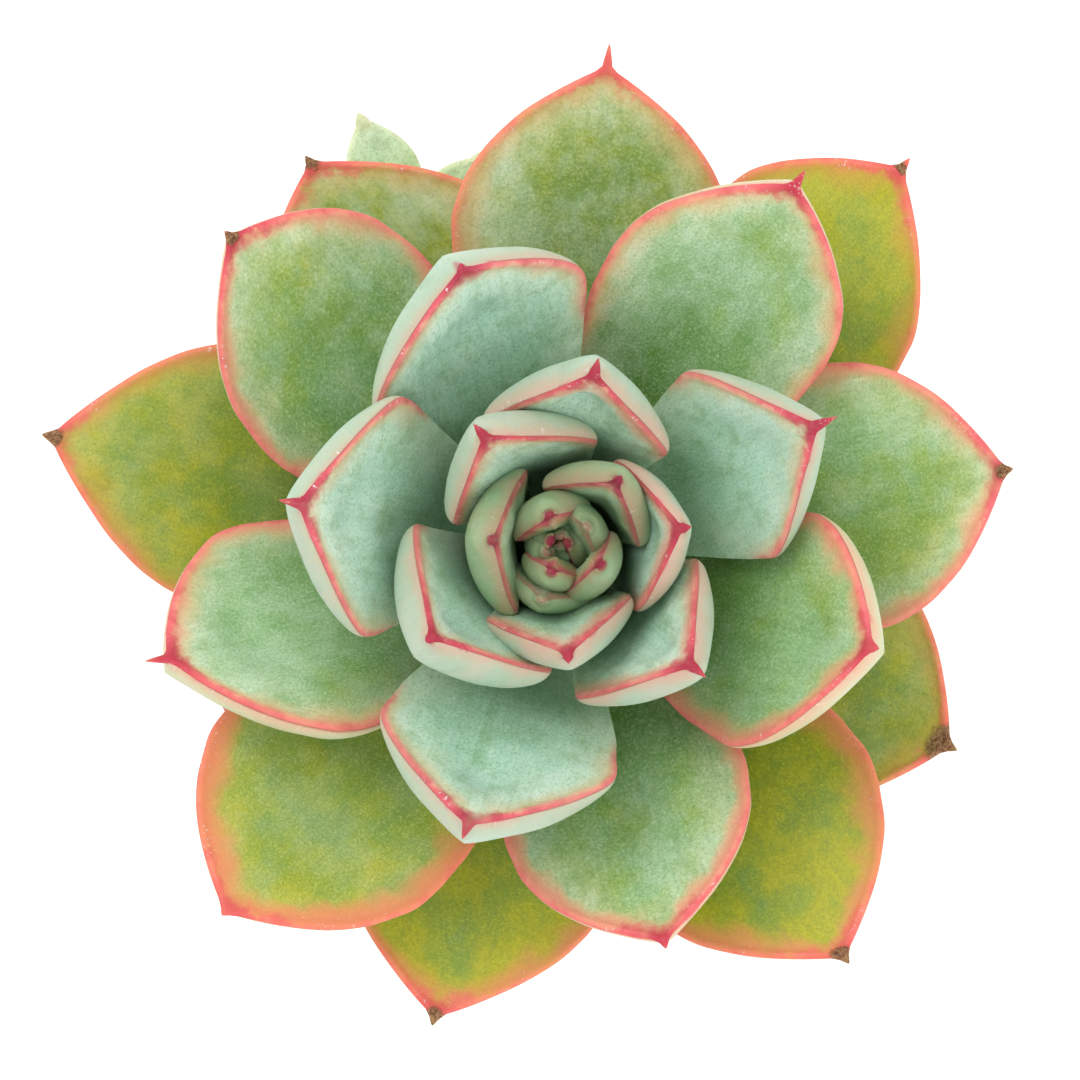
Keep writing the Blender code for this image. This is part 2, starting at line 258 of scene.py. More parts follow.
# Uneven tone: broad patches that lean to a lighter and to a darker shade of a colour.
uneven_tone, given, gives = effect(
    "uneven tone",
    {"Place": None, "Patch Size": 10.0, "Amount": 0.5, "Color": GREY, "Light": GREY, "Dark": GREY},
    ("Color", "Patch"))
tree = uneven_tone
patch = cloud(tree, given["Place"], given["Patch Size"], 5.0, 0.6)
toward_light = times(tree, fade(tree, patch, 0.5, 0.74), given["Amount"])
toward_dark = times(tree, fade(tree, patch, 0.28, 0.5, 1, 0), given["Amount"])
tone = between(tree, toward_light, given["Color"], given["Light"])
tone = between(tree, toward_dark, tone, given["Dark"])
tree.links.new(tone, gives["Color"])
tree.links.new(patch, gives["Patch"])

# Grit: pits and grains of one size, as a height in millimetres and as a mask of the pits.
grit, given, gives = effect(
    "grit", {"Place": None, "Grain Size": 0.5, "Depth": 0.05}, ("Height", "Pits"))
tree = grit
grains = cloud(tree, given["Place"], given["Grain Size"], 4.0, 0.7)
cells = put(tree, "ShaderNodeTexVoronoi", {
    "Vector": given["Place"], "Randomness": 1.0,
    "Scale": sums(tree, "DIVIDE", 0.5, given["Grain Size"])}, feature="F1")
pits = times(tree, fade(tree, cells.outputs["Distance"], 0.10, 0.32, 1, 0),
             fade(tree, cloud(tree, given["Place"], 6.0, 2.0), 0.48, 0.62))
level = sums(tree, "SUBTRACT", grains, times(tree, pits, 0.9))
tree.links.new(times(tree, level, given["Depth"]), gives["Height"])
tree.links.new(pits, gives["Pits"])

clay, tree, shader = finish_named("fired clay", paint(176, 98, 66), Specular_IOR_Level=0.25)
spot = place_in_mm(tree)
height_mm = put(tree, "ShaderNodeSeparateXYZ", {0: spot}).outputs[2]
fired = use(tree, uneven_tone, Place=spot, Patch_Size=17.0, Amount=0.75,
            Color=paint(182, 103, 70), Light=paint(201, 128, 92), Dark=paint(152, 78, 50))
speckle = use(tree, uneven_tone, Place=spot, Patch_Size=0.9, Amount=0.35,
              Color=fired["Color"], Light=paint(214, 150, 116), Dark=paint(120, 62, 42))
surface = use(tree, grit, Place=spot, Grain_Size=0.55, Depth=0.10)
# Lime and salts dry out on the lip and around the foot.
lime_cloud = cloud(tree, spot, 8.0, 6.0, 0.7)
at_foot = fade(tree, height_mm, 2.0, LIME_REACH, 1, 0)
at_lip = fade(tree, height_mm, POT_HEIGHT - 8, POT_HEIGHT)
lime = sums(tree, "MAXIMUM", at_foot, times(tree, at_lip, 0.7))
lime = times(tree, lime, fade(tree, lime_cloud, 0.44, 0.72))
lime = sums(tree, "ADD", times(tree, lime, 0.6),
            times(tree, fade(tree, lime_cloud, 0.6, 0.8), 0.25), clamp=True)
colour = between(tree, lime, speckle["Color"], paint(221, 196, 174))
colour = between(tree, times(tree, surface["Pits"], 0.5), colour, paint(98, 52, 36))
rough = fade(tree, lime, 0.0, 1.0, 0.78, 0.95)
ring_marks = put(tree, "ShaderNodeTexWave", {
    "Vector": spot, "Scale": 0.19, "Distortion": 1.2, "Detail": 2.0, "Detail Scale": 0.6},
    wave_type="BANDS", bands_direction="Z").outputs["Fac"]
relief = sums(tree, "ADD", surface["Height"], times(tree, ring_marks, 0.05))
wire_up(tree, shader, colour, rough, relief)

pot_corners = [
    (POT_DRAIN, 0.0, 0.8), (POT_FOOT - 3.5, 0.0, 0.5), (POT_FOOT, 0.0, 1.2),
    (BODY_TOP, POT_HEIGHT - POT_COLLAR, 0.8), (POT_RIM - 0.4, POT_HEIGHT - POT_COLLAR - 0.1, 1.3),
    (POT_RIM, POT_HEIGHT, 2.2), (INSIDE_TOP, POT_HEIGHT, 2.2), (INSIDE_FOOT, POT_FLOOR, 3.0),
    (POT_DRAIN, POT_FLOOR, 0.8)]


def turning_marks(turn, radius, height):
    """Shallow rings outside, drifting a little as the clay did on the wheel."""
    if height < 2 or radius < POT_FOOT or radius < INSIDE_TOP * 0.5:
        return 0.0
    drift = 0.12 * math.sin(2 * turn + 0.7) + 0.08 * math.sin(3 * turn + height * 0.05)
    return TURNING_DEPTH * (math.sin(2 * math.pi * height / TURNING_PITCH + turn) - 1) * 0.5 + drift * 0.5


points, faces = turned(filled_in(rounded(pot_corners), POT_SPACING), POT_SIDES, turning_marks)
pot = piece("clay_pot", points, faces, clay)
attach(pot, "root")
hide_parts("pot")

# ==== Potting mix ===========================================================================
# A gritty mix pressed in to just under the lip: peat and fine bark, with grains of pumice,
# perlite and grey grit lying on top, as a succulent likes it.
MIX_TOP = POT_HEIGHT - 3.8
MIX_GAP = 0.39              # to the pot's wall
MIX_BOTTOM = POT_FLOOR + 0.3
MIX_SIDES = 120
MIX_WALL_RINGS = 12
MIX_TOP_RINGS = 45
HUMP_WAVES = 22
STEM_AT = (4.3, -0.7)
STEM_RADIUS = 5.1
STEM_SUNK = 10.0            # how deep the stem goes into the mix
GRAIN_COUNT = 900
WALL_SLOPE = (INSIDE_TOP - INSIDE_FOOT) / (POT_HEIGHT - 1.2 - POT_FLOOR)
MIX_RADIUS = INSIDE_FOOT + WALL_SLOPE * (MIX_TOP - POT_FLOOR) - MIX_GAP
GRAIN_KINDS = [             # share, size, flatness, colour
    (0.46, (0.7, 1.9), 0.55, (74, 54, 39)),
    (0.20, (1.2, 3.2), 0.35, (104, 72, 48)),
    (0.16, (0.7, 1.8), 0.80, (139, 128, 112)),
    (0.10, (0.9, 2.0), 0.85, (176, 152, 118)),
    (0.08, (1.0, 2.3), 0.80, (226, 222, 212)),
]

peat, tree, shader = finish_named("potting mix", paint(70, 52, 38), Specular_IOR_Level=0.2)
spot = place_in_mm(tree)
own = put(tree, "ShaderNodeAttribute", attribute_name="grain_colour").outputs["Color"]
earth = use(tree, uneven_tone, Place=spot, Patch_Size=1.2, Amount=0.45, Color=own,
            Light=paint(150, 122, 94), Dark=paint(36, 26, 19))
surface = use(tree, grit, Place=spot, Grain_Size=0.35, Depth=0.22)
damp = cloud(tree, spot, 9.0, 3.0)
wire_up(tree, shader, earth["Color"], fade(tree, damp, 0.35, 0.65, 0.82, 0.97), surface["Height"])

chance = np.random.default_rng(41)
waves = [(chance.uniform(0.25, 1.3), chance.uniform(0, 2 * math.pi), chance.uniform(0, 6.3))
         for _ in range(HUMP_WAVES)]


def mix_level(x, y):
    """Height of the pressed surface, with small humps and a slight rise towards the stem."""
    humps = sum(math.sin(f * (x * math.cos(a) + y * math.sin(a)) + p) / (1 + 2 * f)
                for f, a, p in waves)
    far = min(math.hypot(x, y) / MIX_RADIUS, 1.0)
    return MIX_TOP + 0.5 * (1 - far) + 0.13 * humps * (1 - far ** 6)


outline = [(0.0, MIX_BOTTOM), (INSIDE_FOOT - MIX_GAP, MIX_BOTTOM)]
for k in range(1, MIX_WALL_RINGS + 1):
    up = MIX_BOTTOM + (MIX_TOP - MIX_BOTTOM) * k / MIX_WALL_RINGS
    outline.append((INSIDE_FOOT + WALL_SLOPE * (up - POT_FLOOR) - MIX_GAP, up))
for k in range(1, MIX_TOP_RINGS + 1):
    outline.append((MIX_RADIUS * (1 - k / MIX_TOP_RINGS), MIX_TOP))
points, faces = turned(outline, MIX_SIDES)
for i, (x, y, z) in enumerate(points):
    if z > MIX_TOP - 0.01 and math.hypot(x, y) < MIX_RADIUS - 0.1:
        points[i, 2] = mix_level(x, y)
bed_colour = np.tile(np.array(paint(72, 53, 39), np.float32), (len(points), 1))

# One grain is a knobbly ball of twenty faces, pushed flat to its kind's shape.
gold = (1 + math.sqrt(5)) / 2
ball = np.array([(-1, gold, 0), (1, gold, 0), (-1, -gold, 0), (1, -gold, 0), (0, -1, gold),
                 (0, 1, gold), (0, -1, -gold), (0, 1, -gold), (gold, 0, -1), (gold, 0, 1),
                 (-gold, 0, -1), (-gold, 0, 1)]) / math.hypot(1, gold)
ball_faces = [(0, 11, 5), (0, 5, 1), (0, 1, 7), (0, 7, 10), (0, 10, 11), (1, 5, 9), (5, 11, 4),
              (11, 10, 2), (10, 7, 6), (7, 1, 8), (3, 9, 4), (3, 4, 2), (3, 2, 6), (3, 6, 8),
              (3, 8, 9), (4, 9, 5), (2, 4, 11), (6, 2, 10), (8, 6, 7), (9, 8, 1)]
grain_points, grain_faces, grain_colours = [], [], []
shares = np.cumsum([kind[0] for kind in GRAIN_KINDS])
while len(grain_faces) < GRAIN_COUNT * len(ball_faces):
    far = (MIX_RADIUS - 1.6) * math.sqrt(chance.uniform(0, 1))
    turn = chance.uniform(0, 2 * math.pi)
    x, y = far * math.cos(turn), far * math.sin(turn)
    if math.hypot(x - STEM_AT[0], y - STEM_AT[1]) < STEM_RADIUS + 1.2:
        continue
    share, sizes, flat, tint = GRAIN_KINDS[int(np.searchsorted(shares, chance.uniform(0, 0.999)))]
    size = chance.uniform(*sizes) / 2
    knobs = ball * chance.uniform(0.72, 1.2, (len(ball), 1))
    knobs = knobs * np.array([1.0, chance.uniform(0.6, 1), flat])
    tip, spin = chance.normal(0, 0.45), chance.uniform(0, 2 * math.pi)
    lean = np.array([(1, 0, 0), (0, math.cos(tip), -math.sin(tip)), (0, math.sin(tip), math.cos(tip))])
    face = np.array([(math.cos(spin), -math.sin(spin), 0), (math.sin(spin), math.cos(spin), 0), (0, 0, 1)])
    start = len(grain_points)
    place = np.array([x, y, mix_level(x, y) + size * flat * chance.uniform(0.1, 0.8)])
    grain_points.extend((knobs * size) @ lean.T @ face.T + place)
    grain_faces.extend(tuple(start + c for c in corners) for corners in ball_faces)
    shade = np.array(paint(*tint)) * chance.uniform(0.7, 1.25)
    grain_colours.extend([np.clip(shade, 0, 1)] * len(ball))
bed = piece("potting_bed", points, faces, peat, {"grain_colour": bed_colour})
grains = piece("loose_grit", grain_points, grain_faces, peat, {"grain_colour": grain_colours})
grains.data.polygons.foreach_set("use_smooth", [False] * len(grains.data.polygons))
for made in (bed, grains):
    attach(made, "root")
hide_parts("soil")

# ==== Stem ==================================================================================
# A short, thick, green-brown stem that stands in the mix and carries all the leaves in one
# tight spiral. Old leaf scars ring its bare foot; its tip tapers into the growing point.
ROSETTE_Z = 75.0
LEAF_STEP = 0.75            # each younger leaf sits this much higher
LEAF_FOOT = 5.5             # distance of a leaf's foot from the stem's axis
LEAF_COUNT = 31
HEART_START = 16            # from this leaf on, the stem tapers
STEM_SIDES = 72
STEM_SPACING = 0.45
CORKY_TO = 64.0             # cork below this height, green skin above the next
GREEN_FROM = 80.0
SCAR_COUNT = 26
SCAR_TURN = 2.4             # radians from one old scar to the next
SCAR_RISE = 1.6
LOWEST_SCAR = -19.0         # height from the lowest leaf's foot
SCAR_DEPTH = 0.45

bark, tree, shader = finish_named("stem skin", paint(128, 124, 78), Specular_IOR_Level=0.3)
spot = place_in_mm(tree)
height_mm = put(tree, "ShaderNodeSeparateXYZ", {0: spot}).outputs[2]
green = use(tree, uneven_tone, Place=spot, Patch_Size=3.0, Amount=0.6, Color=paint(126, 132, 76),
            Light=paint(160, 158, 104), Dark=paint(92, 92, 52))
cork = use(tree, uneven_tone, Place=spot, Patch_Size=1.4, Amount=0.7, Color=paint(122, 92, 62),
           Light=paint(168, 140, 104), Dark=paint(76, 52, 36))
surface = use(tree, grit, Place=spot, Grain_Size=0.6, Depth=0.16)
corky = sums(tree, "ADD", fade(tree, height_mm, CORKY_TO, GREEN_FROM, 1, 0),
             times(tree, fade(tree, green["Patch"], 0.5, 0.7), 0.3), clamp=True)
colour = between(tree, corky, green["Color"], cork["Color"])
wire_up(tree, shader, colour, fade(tree, corky, 0, 1, 0.55, 0.85), surface["Height"])


def heart_share(index):
    """0 on the lower stem, growing to 1 at the youngest leaf."""
    return max(0.0, (index - HEART_START) / (LEAF_COUNT - HEART_START))


def leaf_foot(index):
    """How far this leaf's foot is from the stem's axis."""
    return LEAF_FOOT * (1 - 0.85 * heart_share(index) ** 1.5)


def leaf_scars(turn, radius, height):
    """Oval dents where old leaves have dropped, in the same spiral as the living ones."""
    if radius < 1:
        return 0.0
    dent = 0.0
    for k in range(SCAR_COUNT):
        far = (turn - SCAR_TURN * k + math.pi) % (2 * math.pi) - math.pi
        up = height - (LOWEST_SCAR + SCAR_RISE * k)
        dent = min(dent, -SCAR_DEPTH * math.exp(-(far / 0.42) ** 4 - (up / 0.9) ** 4))
        dent += 0.03 * math.exp(-((abs(far) - 0.5) / 0.2) ** 2 - (up / 1.2) ** 2)
    return dent


sunk = MIX_TOP - STEM_SUNK - ROSETTE_Z
outline = [(0.0, sunk), (STEM_RADIUS - 1, sunk), (STEM_RADIUS - 0.1, sunk + 1),
           (STEM_RADIUS - 0.1, LEAF_STEP * HEART_START)]
for index in range(HEART_START + 2, LEAF_COUNT, 2):
    outline.append((leaf_foot(index) - 0.5, LEAF_STEP * index))
outline.append((0.0, LEAF_STEP * LEAF_COUNT))
outline = filled_in([np.array(corner) for corner in outline], STEM_SPACING)
points, faces = turned(outline, STEM_SIDES, leaf_scars)
stem = piece("leafy_stem", points, faces, bark, at=(*STEM_AT, ROSETTE_Z))
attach(stem, "root")
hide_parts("stem")

# ==== Leaves ================================================================================
# Thirty-one fleshy leaves grow in one spiral, old and flat outside, young and folded inside.
# Each is full of water under a tough skin, waxy and finely dotted, with a crisp raised margin
# that the sun turns pink, and a short spine. The oldest have dried, corky tips.
# Shape: angle (degrees, +X towards +Y), length, width, lean, curl, cup, roll (degrees), sideways
# set of the tip, fullness, spine length, widest place, straightness, thickness, edge roundness.
# Second line, look: sun (0 blue-green to 1 yellow), wax, flush of the margin, then in millimetres
# the dried tip, the hollow under the tip, the fullness of the upper face and the blush's reach.
LEAVES = [
    (332.0, 47, 31, 3, 12, 14, 0, 0.5, 2.1, 1, 0.62, 0, 6, 1.2,
     0.85, 0.3, 0.6, 3.4, 0, 0.6, 1.2),
    (119.0, 49, 31, 2, 12, 14, 0, 4, 2.3, 1, 0.62, 0, 6, 1.2,
     0.7, 1, 0.75, 1.6, 0, 0.6, 1.4),
    (255.0, 53, 33, 3, 12, 14, 0, 0, 2, 1, 0.62, 0, 6, 1.2,
     0.95, 0, 0.7, 1.8, 0, 0.6, 3.4),
    (44.5, 55, 31, 1, 12, 14, 0, 3.5, 2.3, 1.5, 0.62, 0, 6, 1.2,
     1, 0.1, 0.9, 0.9, 0, 0.6, 1.6),
    (168.0, 57, 32, 7, 10, 14, 0, 0, 1.9, 1, 0.6, 0, 6, 1.2,
     0.82, 0.25, 0.75, 1.6, 0, 0.6, 1.8),
    (302.5, 55, 33, 12, 10, 14, 0, 2, 2.2, 1, 0.62, 0, 6, 1.2,
     1, 0, 0.8, 1.6, 0, 0.6, 4),
    (84.5, 53, 33, 13, 12, 16, 0, 0, 2.2, 3, 0.62, 0, 6, 1.2,
     0.48, 1, 0.75, 0, 0, 0.7, 1.4),
    (229.0, 55, 33, 12, 14, 16, 0, -1.5, 2.6, 0.6, 0.62, 0, 6, 1.2,
     0.62, 0.3, 0.95, 0, 0, 1, 4.2),
    (9.0, 50, 32, 15, 14, 18, 0, 0.5, 2.2, 1, 0.62, 0, 6, 1.2,
     0.5, 0.75, 1, 1.4, 0, 0.8, 2.4),
    (141.5, 51, 30, 18, 16, 18, 6, -4, 2.5, 1, 0.62, 0, 6, 1.3,
     0.42, 0.85, 1, 1.2, 0, 0.9, 2.4),
    (284.5, 48, 30, 23, 18, 18, 8, 0, 2.1, 1.2, 0.64, 0, 6, 1.4,
     0.38, 0.6, 1, 0, 0.1, 1, 3.2),
    (57.0, 51, 29, 23, 20, 20, 8, 0, 2, 2.6, 0.64, 0, 6, 1.5,
     0.18, 0.8, 1, 0, 0.4, 1, 1.5),
    (202.8, 46.5, 29.2, 22, 20, 20, 18, -5.8, 2, 3, 0.64, 0, 5.6, 4.2,
     0.22, 0.7, 1, 0, 0.4, 1.1, 1.8),
    (334.0, 45, 29, 35, 28, 22, 8, 5, 1.9, 1, 0.66, 0.2, 6, 2.2,
     0.4, 0.4, 1, 0, 0.5, 1.2, 2.6),
    (119.0, 41, 30, 38, 30, 22, 6, -5.2, 1.9, 1, 0.7, 0.5, 6, 2.8,
     0.06, 0.8, 0.9, 0, 0.6, 1.4, 1.6),
    (254.0, 44, 29, 39, 32, 24, 0, -1.5, 1.3, 2.6, 0.68, 0.4, 6, 2.6,
     0.06, 0.85, 0.9, 0, 1.3, 1.6, 1.2),
    (26.0, 42, 25, 41, 30, 30, 0, -0.5, 1.15, 2.8, 0.64, 0.6, 4.3, 2.4,
     0.05, 0.7, 0.9, 0, 0.7, 1.4, 1.5),
    (171.0, 43, 29.5, 45.5, 29, 32, 0, 0, 1.4, 2.8, 0.69, 0.7, 4.2, 2.8,
     0.02, 0.9, 0.95, 0, 0.8, 1.6, 1),
    (310.0, 36, 22.5, 56.5, 27, 36, 10, 2.5, 1.2, 2.6, 0.62, 0.7, 4, 1.9,
     0.02, 0.8, 0.95, 0, 1, 1.8, 2.6),
    (85.0, 35, 23, 57, 25, 36, -5, -2, 1.1, 2.2, 0.62, 0.7, 4.4, 2.4,
     0, 0.95, 0.9, 0, 2.2, 1.6, 2.5),
    (217.0, 35, 24.6, 59, 27, 38, 6, -0.5, 1.2, 1, 0.62, 0.7, 5, 2.8,
     0, 0.9, 0.95, 0, 1.1, 1.6, 1.8),
    (8.0, 28.6, 19.5, 66.5, 17, 48, 0, 0, 2, 1.5, 0.62, 0.6, 2.4, 1.3,
     0, 0.5, 1, 0, 0.8, 1.6, 3.4),
    (115.5, 32, 21, 62.5, 24, 46, 5, 2.7, 1.1, 2.4, 0.6, 0.7, 3.7, 2.4,
     0.05, 0.7, 0.95, 0, 0.3, 1.6, 1.8),
    (269.5, 30, 18.8, 65, 26, 44, 10, 0.8, 1.05, 1.5, 0.6, 0.7, 2.8, 1.9,
     0.08, 0.55, 0.95, 0, 0.3, 2, 2.6),
    (51.0, 28, 16.2, 68, 30, 68, 8, -0.3, 1.05, 1.5, 0.6, 0.7, 2.2, 1.7,
     0.1, 0.35, 0.9, 0, 0.2, 1.8, 2.2),
    (176.0, 26, 18.5, 66, 40, 46, 0, 0, 1.1, 1.2, 0.6, 0.7, 2.9, 2.2,
     0.12, 0.35, 0.85, 0, 0.2, 2.4, 1.8),
    (319.0, 24, 10.4, 74, 34, 52, 4, 1.2, 1.1, 1, 0.6, 0.7, 1.8, 1.3,
     0.12, 0.25, 0.85, 0, 0.1, 2.2, 1.4),
    (113.0, 22, 10.5, 78, 28, 44, 0, 0, 1.1, 0.8, 0.6, 0.7, 2.2, 1.4,
     0.15, 0.2, 0.8, 0, 0.1, 2.2, 1),
    (249.0, 21, 8, 78, 28, 44, 0, 0, 1.1, 0.6, 0.6, 0.7, 1.7, 1.1,
     0.15, 0.2, 0.8, 0, 0, 2, 0.8),
    (18.0, 15, 7, 88, 20, 36, 0, 0, 1.2, 0.5, 0.6, 0.5, 2, 1,
     0.15, 0.1, 0.8, 0, 0, 1, 0.6),
    (160.0, 15, 5, 82, 24, 36, 0, 0, 1.2, 0.5, 0.6, 0.5, 1.7, 0.9,
     0.15, 0.1, 0.8, 0, 0, 0.9, 0.6),
]
# First leaf of each group, how far it is folded rather than cupped, how much it thins towards
# the shoulders, how far its tip turns back outwards (degrees), how far in from the margin it
# reaches its full thickness (share of the width) and how far from the base (share of the
# length), and its thickness at the base (share of the full thickness).
GROUPS = [(0, 0.0, 0.3, 0, 0.42, 0.50, 0.45), (13, 0.5, 0.3, 14, 0.30, 0.72, 0.25),
          (14, 0.5, 0.7, 14, 0.30, 0.72, 0.25), (16, 0.9, 0.7, 26, 0.30, 0.72, 0.25)]
MARGIN_RIDGE = 0.20         # height of the raised line along the margin
SWELL = 0.20                # soft unevenness of the water-filled blade
UNDERSIDE_SHIFT = 60.0      # the back and every other leaf show another part of the patterns
LEAF_SHIFT = 31.7
LEAF_ROWS, LEAF_COLUMNS = 28, 33
SMALL_ROWS, SMALL_COLUMNS = 18, 21


def half_width(s, length, width, fullness, spine, widest, corner):
    """Half the leaf's width at s: 0 at its foot, 1 at the end of the blade, then the spine."""
    x = np.clip(s / widest, 0, 1)
    grow = 0.32 + 0.68 * ((1 - corner) * np.sin(np.pi / 2 * x) ** 1.3 + corner * x ** 1.1)
    close = 1 - np.clip((s - widest) / (1 - widest), 0, 1) ** fullness
    blade = width / 2 * np.where(s < widest, grow, close)
    back = (1 + spine / length - s) * length
    thorn = np.minimum(0.62 * (np.clip(back, 0, None) / spine) ** 0.8, 0.9)
    return np.maximum(blade, np.where(back < spine + 2.5, thorn, 0))


def smooth_step(value, low, high):
    share = np.clip((value - low) / (high - low), 0, 1)
    return share * share * (3 - 2 * share)


def grow_leaf(name, finish, at, azimuth, foot, length, width, lean, curl, cup, roll, sway, fullness,
              spine, widest, corner, thickness, edge, look, group, seed, rows, columns):
    """One leaf in millimetres: a grid of upper points, and a grid of lower ones under it."""
    fold, thinning, turn_back, shoulder, swell_at, slim = group
    sun, wax, flush, dried, hollow, bulge, spread = look
    chance = np.random.default_rng(seed)
    s = np.concatenate([np.linspace(0, 0.6, rows // 2 + 2)[:-1], np.linspace(0.6, 1, rows),
                        1 + spine / length * np.array([0.2, 0.42, 0.64, 0.84, 1.0])])
    u = np.sin(np.linspace(-1, 1, columns) * np.pi / 2)[None, :]

    # The midrib, from the lean at the foot to the curl of the tip.
    fine = np.linspace(0, s[-1], 500)
    near_tip = np.clip((fine - 0.78) / 0.22, 0, 1.3)
    angle = np.radians(lean + curl * np.clip(fine, 0, 1) ** 1.6 - turn_back * near_tip ** 2)
    step = (fine[1] - fine[0]) * length
    along = np.concatenate([[0], np.cumsum((np.cos(angle[1:]) + np.cos(angle[:-1])) / 2 * step)])
    rise = np.concatenate([[0], np.cumsum((np.sin(angle[1:]) + np.sin(angle[:-1])) / 2 * step)])
    widths = half_width(fine, length, width, fullness, spine, widest, corner)
    # Round off the corner where the sides turn in.
    window = np.hanning(45) / np.hanning(45).sum()
    softened = np.convolve(np.pad(widths, 22, "edge"), window, "valid")
    corner_share = np.exp(-((fine - widest) / 0.11) ** 4)
    widths = widths * (1 - corner_share) + softened * corner_share
    ripple = sum(np.sin(fine * length * 2 * np.pi / wave + chance.uniform(0, 6.3)) / (k + 1)
                 for k, wave in enumerate((13.0, 7.5, 4.5)))
    widths = widths * (1 + 0.007 * ripple * smooth_step(fine, 0.3, 0.5) * smooth_step(1 - fine, 0, 0.06))
    taper = np.clip(np.interp(s, fine, np.gradient(widths, fine * length)), -1.5, 1.5)[:, None]
    half = np.interp(s, fine, widths)[:, None]
    tilt = np.interp(s, fine, angle)
    ramp = np.clip(s / 0.5, 0, 1)[:, None]

    # The cross-section: cupped or folded above, full and rounded below.
    bend = np.maximum(np.radians(cup) * (fold + (1 - fold) * np.clip(half / (width / 2), 0, 1)), 1e-4)
    side = half * np.sin(bend * u) / bend
    lift = half * (1 - np.cos(bend * u)) / bend
    inward = half * (1 - np.abs(u)) / np.sqrt(1 + taper ** 2)
    swollen = np.sin(np.pi / 2 * np.clip(s / swell_at, 0, 1))[:, None] ** 1.6
    full = thickness * (slim + (1 - slim) * swollen)
    thin = 1 - thinning * (np.clip(np.abs(side) / (width / 2), 0, 1) * ramp) ** 3
    middle = full * thin
    rim = np.minimum(edge * thin, 0.9 * middle)
    depth = rim * np.sqrt(1 - (1 - np.clip(inward / rim, 0, 1)) ** 2)
    depth = depth + (middle - rim) * np.sin(np.pi / 2 * np.clip(inward / (shoulder * width), 0, 1))

    # Small relief: swelling, the raised margin, the groove along the middle, the hollow tip.
    place = s[:, None] * length + 0 * side
    share = place / length
    swell = 0
    for wave in (26.0, 17.0, 12.0, 8.0):
        way = chance.uniform(0, 2 * np.pi)
        swell = swell + wave / 26 * np.sin(
            (place * np.cos(way) + side * np.sin(way)) * 2 * np.pi / wave + chance.uniform(0, 6.3))
    inside = 1 - np.exp(-inward / 3.0)
    size = min(width / 28, 1.0)
    relief = SWELL * size * swell * inside
    relief = relief - 0.22 * size * np.exp(-(side / (0.09 * width)) ** 2) * ramp * inside
    shape = smooth_step(share, 0.25, 0.6) * size ** 0.5
    relief = relief + MARGIN_RIDGE * np.exp(-((inward - 0.55) / 0.33) ** 2) * shape
    relief = relief - 0.16 * (1 - np.clip(inward / 0.35, 0, 1)) ** 2 * shape
    plump = np.sin(np.pi / 2 * np.clip(inward / (0.24 * width), 0, 1))
    relief = relief + bulge * plump * smooth_step(share, 0.2, 0.5)
    relief = relief - hollow * np.exp(-((share - 0.77) / 0.09) ** 2 - (u / 0.38) ** 2)
    thorny = smooth_step(1.6 - half, 0, 0.8)
    relief = relief * (1 - thorny) + 0.55 * half * (1 - u ** 2) * thorny
    keel = 0.6 * size * np.exp(-(side / (0.08 * width)) ** 2) * smooth_step(share, 0.62, 0.95)
    depth = depth + (keel + 0.4 * SWELL * size * np.roll(swell, 3, axis=0)) * inside * (1 - thorny)
    pointed = np.minimum(depth, 0.8 * half * np.sqrt(1 - u ** 2))
    depth = depth * (1 - thorny) + pointed * thorny

    rolled = np.radians(roll) * ramp
    ahead = np.stack([-np.sin(tilt), 0 * tilt, np.cos(tilt)], -1)[:, None, :]
    across = np.array([0.0, 1.0, 0.0])
    wide = across * np.cos(rolled)[..., None] + ahead * np.sin(rolled)[..., None]
    up = ahead * np.cos(rolled)[..., None] - across * np.sin(rolled)[..., None]
    aside = (side + sway * s[:, None] ** 2)[..., None]
    centre = np.stack([np.interp(s, fine, along), 0 * s, np.interp(s, fine, rise)], -1)[:, None, :]
    facing = up * np.cos(bend * u)[..., None] - wide * np.sin(bend * u)[..., None]
    ground = centre + wide * aside + up * lift[..., None]
    upper = ground + facing * relief[..., None]
    lower = ground - facing * np.maximum(depth, 0.02)[..., None]
    lower[:, 0], lower[:, -1] = upper[:, 0], upper[:, -1]

    # Number the points: the margins are shared, and the last row is the point of the spine.
    count, across_count = upper.shape[:2]
    over = np.arange(count * across_count).reshape(count, across_count)
    under = over + count * across_count
    under[:, 0], under[:, -1] = over[:, 0], over[:, -1]
    over[-1], under[-1] = over[-1, across_count // 2], over[-1, across_count // 2]
    faces = []
    for r in range(count - 1):
        for c in range(across_count - 1):
            faces.append((over[r, c], over[r + 1, c], over[r + 1, c + 1], over[r, c + 1]))
            faces.append((under[r, c], under[r, c + 1], under[r + 1, c + 1], under[r + 1, c]))
    for c in range(across_count - 1):
        faces.append((over[0, c], over[0, c + 1], under[0, c + 1], under[0, c]))
    used, numbers = np.unique(np.concatenate([np.array(f) for f in faces]), return_inverse=True)
    faces = numbers.reshape(-1, 4).tolist()

    a = math.radians(azimuth)
    turn = np.array([(math.cos(a), -math.sin(a), 0), (math.sin(a), math.cos(a), 0), (0, 0, 1)])
    points = np.concatenate([upper.reshape(-1, 3), lower.reshape(-1, 3)])
    points = (points + np.array([foot, 0, 0])) @ turn.T
    tip = np.hypot((1 - share) * length, side)

    def both(over_value, under_value):
        """Numbers for the upper grid and for the lower one, on the points that are used."""
        return np.concatenate([over_value.ravel(), under_value.ravel()])[used]

